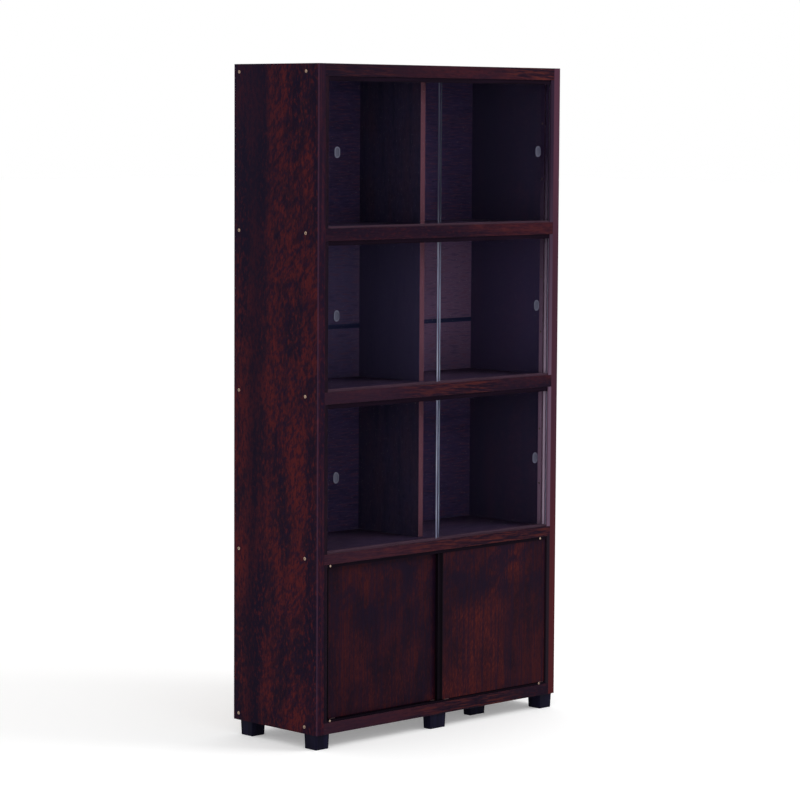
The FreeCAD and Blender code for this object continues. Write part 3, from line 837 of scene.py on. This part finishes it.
def pin_seats(node, axis, outward_sign, head_height):
    """The seat and the facing of every pin, and the head's radius and the shank's length."""
    seats = []
    for low, high in solids_in(node):
        seat = [(a + b) / 2 for a, b in zip(low, high)]
        sign = outward_sign(seat)
        seat[axis] = (high[axis] if sign > 0 else low[axis]) - sign * head_height
        facing = [0.0, 0.0, 0.0]
        facing[axis] = sign
        seats.append((seat, facing))
    # the pins of a node are alike, so the last one gives the sizes of all
    across = (axis + 1) % 3
    return seats, (high[across] - low[across]) / 2, high[axis] - low[axis] - head_height


# %% The pin tree and its inputs
PIN_INPUTS = [("Points", "Geometry", None), ("Head Radius", "Float", 0.0045),
              ("Head Height", "Float", 0.0016), ("Crown", "Float", 0.5),
              ("Recess Reach", "Float", 0.6), ("Recess Depth", "Float", 0.0008),
              ("Shank Radius", "Float", 0.0025), ("Shank Length", "Float", 0.055),
              ("Seed", "Int", 0), ("Material", "Material", None)]

pins_tree = bpy.data.node_groups.new("headed_pins", "GeometryNodeTree")
for name, kind, value in PIN_INPUTS:
    socket = pins_tree.interface.new_socket(name, in_out="INPUT", socket_type="NodeSocket" + kind)
    if value is not None:
        socket.default_value = value
pins_tree.interface.new_socket("Pins", in_out="OUTPUT", socket_type="NodeSocketGeometry")
print("a pin takes:", ", ".join(name for name, _, _ in PIN_INPUTS))

# %% The outline of a cross recess
QUARTER = math.pi / 2
ARM_HALF_ANGLE = math.radians(15)
SMALLEST_SINE = 0.01  # so that nothing is divided by 0 along the middle of an arm


def cross_outline(tree, given, x, y):
    """The reach of a cross in the direction of a point: flat arm ends, and straight arm sides."""
    angle = plus(tree, maths(tree, "ARCTAN2", y, x), 2 * math.pi + QUARTER / 2)
    # the four arms are folded onto one, and its two halves onto each other
    folded = maths(tree, "ABSOLUTE",
                   minus(tree, maths(tree, "MODULO", angle, QUARTER), QUARTER / 2))
    arm = times(tree, given["Recess Reach"], given["Head Radius"])
    half_width = times(tree, arm, math.tan(ARM_HALF_ANGLE))
    arm_end = maths(tree, "DIVIDE", arm, maths(tree, "COSINE", folded))
    sine = maths(tree, "MAXIMUM", maths(tree, "SINE", folded), SMALLEST_SINE)
    return maths(tree, "MINIMUM", arm_end, maths(tree, "DIVIDE", half_width, sine))


# %% The top of a pin
RINGS = 6            # rings on the end of the cylinder, from its middle to its edge
RECESS_FLOOR = 0.86  # how far the floor of the recess reaches towards its rim


def pin_top(tree, given, reach, cross):
    """Radius and level on top: two rings lie in the recess, the third is its rim."""
    in_recess = maths(tree, "LESS_THAN", reach, 2.5 / RINGS)
    outside = minus(tree, 1.0, in_recess)
    inner = times(tree, cross, times(tree, reach, RECESS_FLOOR * RINGS / 2))
    # from the third ring to the edge, the outline changes from the cross to a circle
    to_edge = maths(tree, "MULTIPLY_ADD", reach, 2.0, -1.0)
    outer = plus(tree, cross, times(tree, to_edge, minus(tree, given["Head Radius"], cross)))
    radius = plus(tree, times(tree, in_recess, inner), times(tree, outside, outer))
    share = maths(tree, "DIVIDE", radius, given["Head Radius"])
    fall = times(tree, given["Crown"], times(tree, share, share))
    crowned = times(tree, given["Head Height"], minus(tree, 1.0, fall))
    return radius, minus(tree, crowned, times(tree, in_recess, given["Recess Depth"]))


# %% One pin out of a plain cylinder
SIDES = 24             # sides of the cylinder
NEAR_END = 0.9         # its ends are at 1 and -1, and all else lies nearer the middle than this
POINT_STEEPNESS = 1.5  # length of the shank's point over its radius
SMALLEST_REACH = 0.0001  # so that nothing is divided by 0 in the middle of an end


def one_pin(tree, given):
    """Steers the levels of a cylinder into the head, its flat underside, the shank and a point."""
    cylinder = add(tree, "GeometryNodeMeshCylinder",
                   {"Vertices": SIDES, "Side Segments": 3, "Fill Segments": RINGS, "Radius": 1.0,
                    "Depth": 2.0}, fill_type="TRIANGLE_FAN")
    place = add(tree, "GeometryNodeInputPosition").outputs[0]
    x, y, level = add(tree, "ShaderNodeSeparateXYZ", {0: place}).outputs
    reach = maths(tree, "SQRT", plus(tree, times(tree, x, x), times(tree, y, y)))
    on_top = maths(tree, "GREATER_THAN", level, NEAR_END)
    under_head = times(tree, maths(tree, "GREATER_THAN", level, 0.0),
                       maths(tree, "LESS_THAN", level, NEAR_END))
    on_shank = maths(tree, "LESS_THAN", level, 0.0)
    at_point = maths(tree, "LESS_THAN", level, -NEAR_END)

    top_radius, top_level = pin_top(tree, given, reach, cross_outline(tree, given, x, y))
    shank_radius = times(tree, given["Shank Radius"], reach)
    point_level = minus(tree, times(tree, shank_radius, POINT_STEEPNESS), given["Shank Length"])
    below_radius = plus(tree, times(tree, under_head, given["Head Radius"]),
                        times(tree, on_shank, shank_radius))
    radius = plus(tree, times(tree, on_top, top_radius), below_radius)
    height = plus(tree, times(tree, on_top, top_level), times(tree, at_point, point_level))
    grow = maths(tree, "DIVIDE", radius, maths(tree, "MAXIMUM", reach, SMALLEST_REACH))
    shaped = add(tree, "ShaderNodeCombineXYZ",
                 {0: times(tree, x, grow), 1: times(tree, y, grow), 2: height})
    return add(tree, "GeometryNodeSetPosition", {"Geometry": cylinder.outputs["Mesh"],
                                                 "Position": shaped.outputs[0]}).outputs[0]


# %% One pin on every point
def on_every_point(tree, given, pin):
    """Pins that look the way their points say, each turned about itself by chance."""
    facing = add(tree, "GeometryNodeInputNamedAttribute", {"Name": "facing"},
                 data_type="FLOAT_VECTOR").outputs[0]
    upright = add(tree, "FunctionNodeAlignRotationToVector", {"Vector": facing},
                  axis="Z").outputs[0]
    chance = add(tree, "FunctionNodeRandomValue", {3: 2 * math.pi, "Seed": given["Seed"]},
                 data_type="FLOAT").outputs[1]
    turn = add(tree, "FunctionNodeAxisAngleToRotation",
               {"Axis": (0, 0, 1), "Angle": chance}).outputs[0]
    turned = add(tree, "FunctionNodeRotateRotation", {"Rotation": upright, "Rotate By": turn},
                 rotation_space="LOCAL").outputs[0]
    placed = add(tree, "GeometryNodeInstanceOnPoints",
                 {"Points": given["Points"], "Instance": pin, "Rotation": turned}).outputs[0]
    real = add(tree, "GeometryNodeRealizeInstances", {"Geometry": placed}).outputs[0]
    return add(tree, "GeometryNodeSetMaterial",
               {"Geometry": real, "Material": given["Material"]}).outputs[0]


given = add(pins_tree, "NodeGroupInput").outputs
pins = on_every_point(pins_tree, given, one_pin(pins_tree, given))
pins_tree.links.new(pins, add(pins_tree, "NodeGroupOutput").inputs[0])
print("pin tree has", len(pins_tree.nodes), "nodes")

# %% Turn a tree's result into a plain mesh
def from_tree(name, start_mesh, tree, values):
    """Runs a tree on a mesh, with its inputs set by name, and keeps only the finished mesh."""
    host = bpy.data.objects.new(name, start_mesh)
    bpy.context.scene.collection.objects.link(host)
    modifier = host.modifiers.new("tree", "NODES")
    modifier.node_group = tree
    for socket in tree.interface.items_tree:
        if socket.in_out == "INPUT" and socket.name in values:
            modifier[socket.identifier] = values[socket.name]
    finished = bpy.data.meshes.new_from_object(
        host.evaluated_get(bpy.context.evaluated_depsgraph_get()))
    host.modifiers.remove(modifier)
    host.data = finished
    return host


def soften(mesh, sharpest=34):
    """Smooth shading, but sharp along edges that turn by more than so many degrees."""
    work = bmesh.new()
    work.from_mesh(mesh)
    for face in work.faces:
        face.smooth = True
    for edge in work.edges:
        edge.smooth = edge.calc_face_angle(0.0) < math.radians(sharpest)
    work.to_mesh(mesh)
    work.free()


# %% Set the pins
MM = 0.001
ALONG_WIDTH, ALONG_DEPTH = 0, 1


def set_pins(node, axis, outward_sign, material, slot, seed, **sizes):
    """Replaces a CAD node of plain pins by finished ones in the same seats."""
    seats, head_radius, shank = pin_seats(node, axis, outward_sign, sizes["Head Height"])
    points = bpy.data.meshes.new(node + "_seats")
    points.from_pydata([seat for seat, _ in seats], [], [])
    facing = points.attributes.new("facing", "FLOAT_VECTOR", "POINT")
    facing.data.foreach_set("vector", [part for _, way in seats for part in way])
    values = {"Head Radius": head_radius, "Shank Length": shank, "Seed": seed,
              "Material": material, **sizes}
    piece = from_tree("finished_" + node, points, pins_tree, values)
    soften(piece.data)
    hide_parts(node)
    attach(piece, "cabinet")
    print(node, len(seats), "pins, head radius", round(head_radius / MM, 2), "mm, shank",
          round(shank / MM, 2), "mm,", len(piece.data.polygons), "faces")


def away_from_middle(seat):
    return 1 if seat[0] > 0 else -1


set_pins("carcass_screws", ALONG_WIDTH, away_from_middle, brass, "brass", 11,
         **{"Head Height": 1.6 * MM, "Shank Radius": 2.5 * MM})
set_pins("jamb_screws", ALONG_WIDTH, lambda seat: -away_from_middle(seat), dull_brass, "brass",
         12, **{"Head Height": 1.6 * MM, "Shank Radius": 1.5 * MM, "Recess Depth": 0.7 * MM})
set_pins("track_studs", ALONG_DEPTH, lambda seat: -1, brass, "brass", 13,
         **{"Head Height": 1.6 * MM, "Shank Radius": 1.2 * MM, "Recess Depth": 0.0, "Crown": 0.7})
set_pins("back_nails", ALONG_DEPTH, lambda seat: 1, steel, "steel", 14,
         **{"Head Height": 0.6 * MM, "Shank Radius": 0.9 * MM, "Recess Depth": 0.0, "Crown": 0.2})

# %% [markdown]
# ## Finishes on the CAD parts
#
# The other parts keep the CAD shape, and only their material slots are filled. That could be one
# call for each part. A table from finish to part names is easier to check, and the last line says
# if any part was forgotten. The replaced panes and pins are in it too, so that none is bare.

# %% Which part gets which finish
def in_bays(kind):
    """The left and the right one of a kind of part, in every glass bay."""
    return [bay + "_bay_" + side + "_" + kind for bay in BAYS for side in LEFT_AND_RIGHT]


finishes = {
    side_foil: ["left_side_panel", "right_side_panel"],
    board_foil: ["bottom_panel", "lower_shelf", "middle_shelf", "upper_shelf", "top_panel"],
    upright_foil: [bay + "_divider" for bay in BAYS],
    rail_foil: ["bottom_rail", "lower_rail", "middle_rail", "upper_rail", "top_rail"],
    jamb_foil: in_bays("jamb") + ["cabinet_left_jamb", "cabinet_right_jamb"],
    back_foil: ["lower_back_sheet", "upper_back_sheet"],
    joint_plastic: ["back_joint_strip"],
    door_foil: ["left_door", "right_door"],
    grip_plastic: ["left_door_grip", "right_door_grip"],
    nylon: ["left_door_glides", "right_door_glides"],
    lower_track_plastic: [bay + "_bay_bottom_track" for bay in BAYS],
    upper_track_plastic: [bay + "_bay_top_track" for bay in BAYS],
    door_track_plastic: ["cabinet_top_track", "cabinet_bottom_track"],
    glass: in_bays("glass"),
    pull_plastic: in_bays("pull"),
    foot_plastic: ["corner_feet", "middle_feet"],
    brass: ["carcass_screws", "jamb_screws", "track_studs"],
    steel: ["back_nails"],
    beech: ["dowels"],
}
print(len(finishes), "finishes on CAD parts")

# %% Give every CAD node its finish
done = set()
for material, names in finishes.items():
    for name in names:
        slots = nodes[name].material_slots
        if not slots:
            nodes[name].data.materials.append(material)
        for slot in slots:
            slot.material = material
        done.add(name)
print("finished", len(done), "nodes; left out:", sorted(set(nodes) - done))
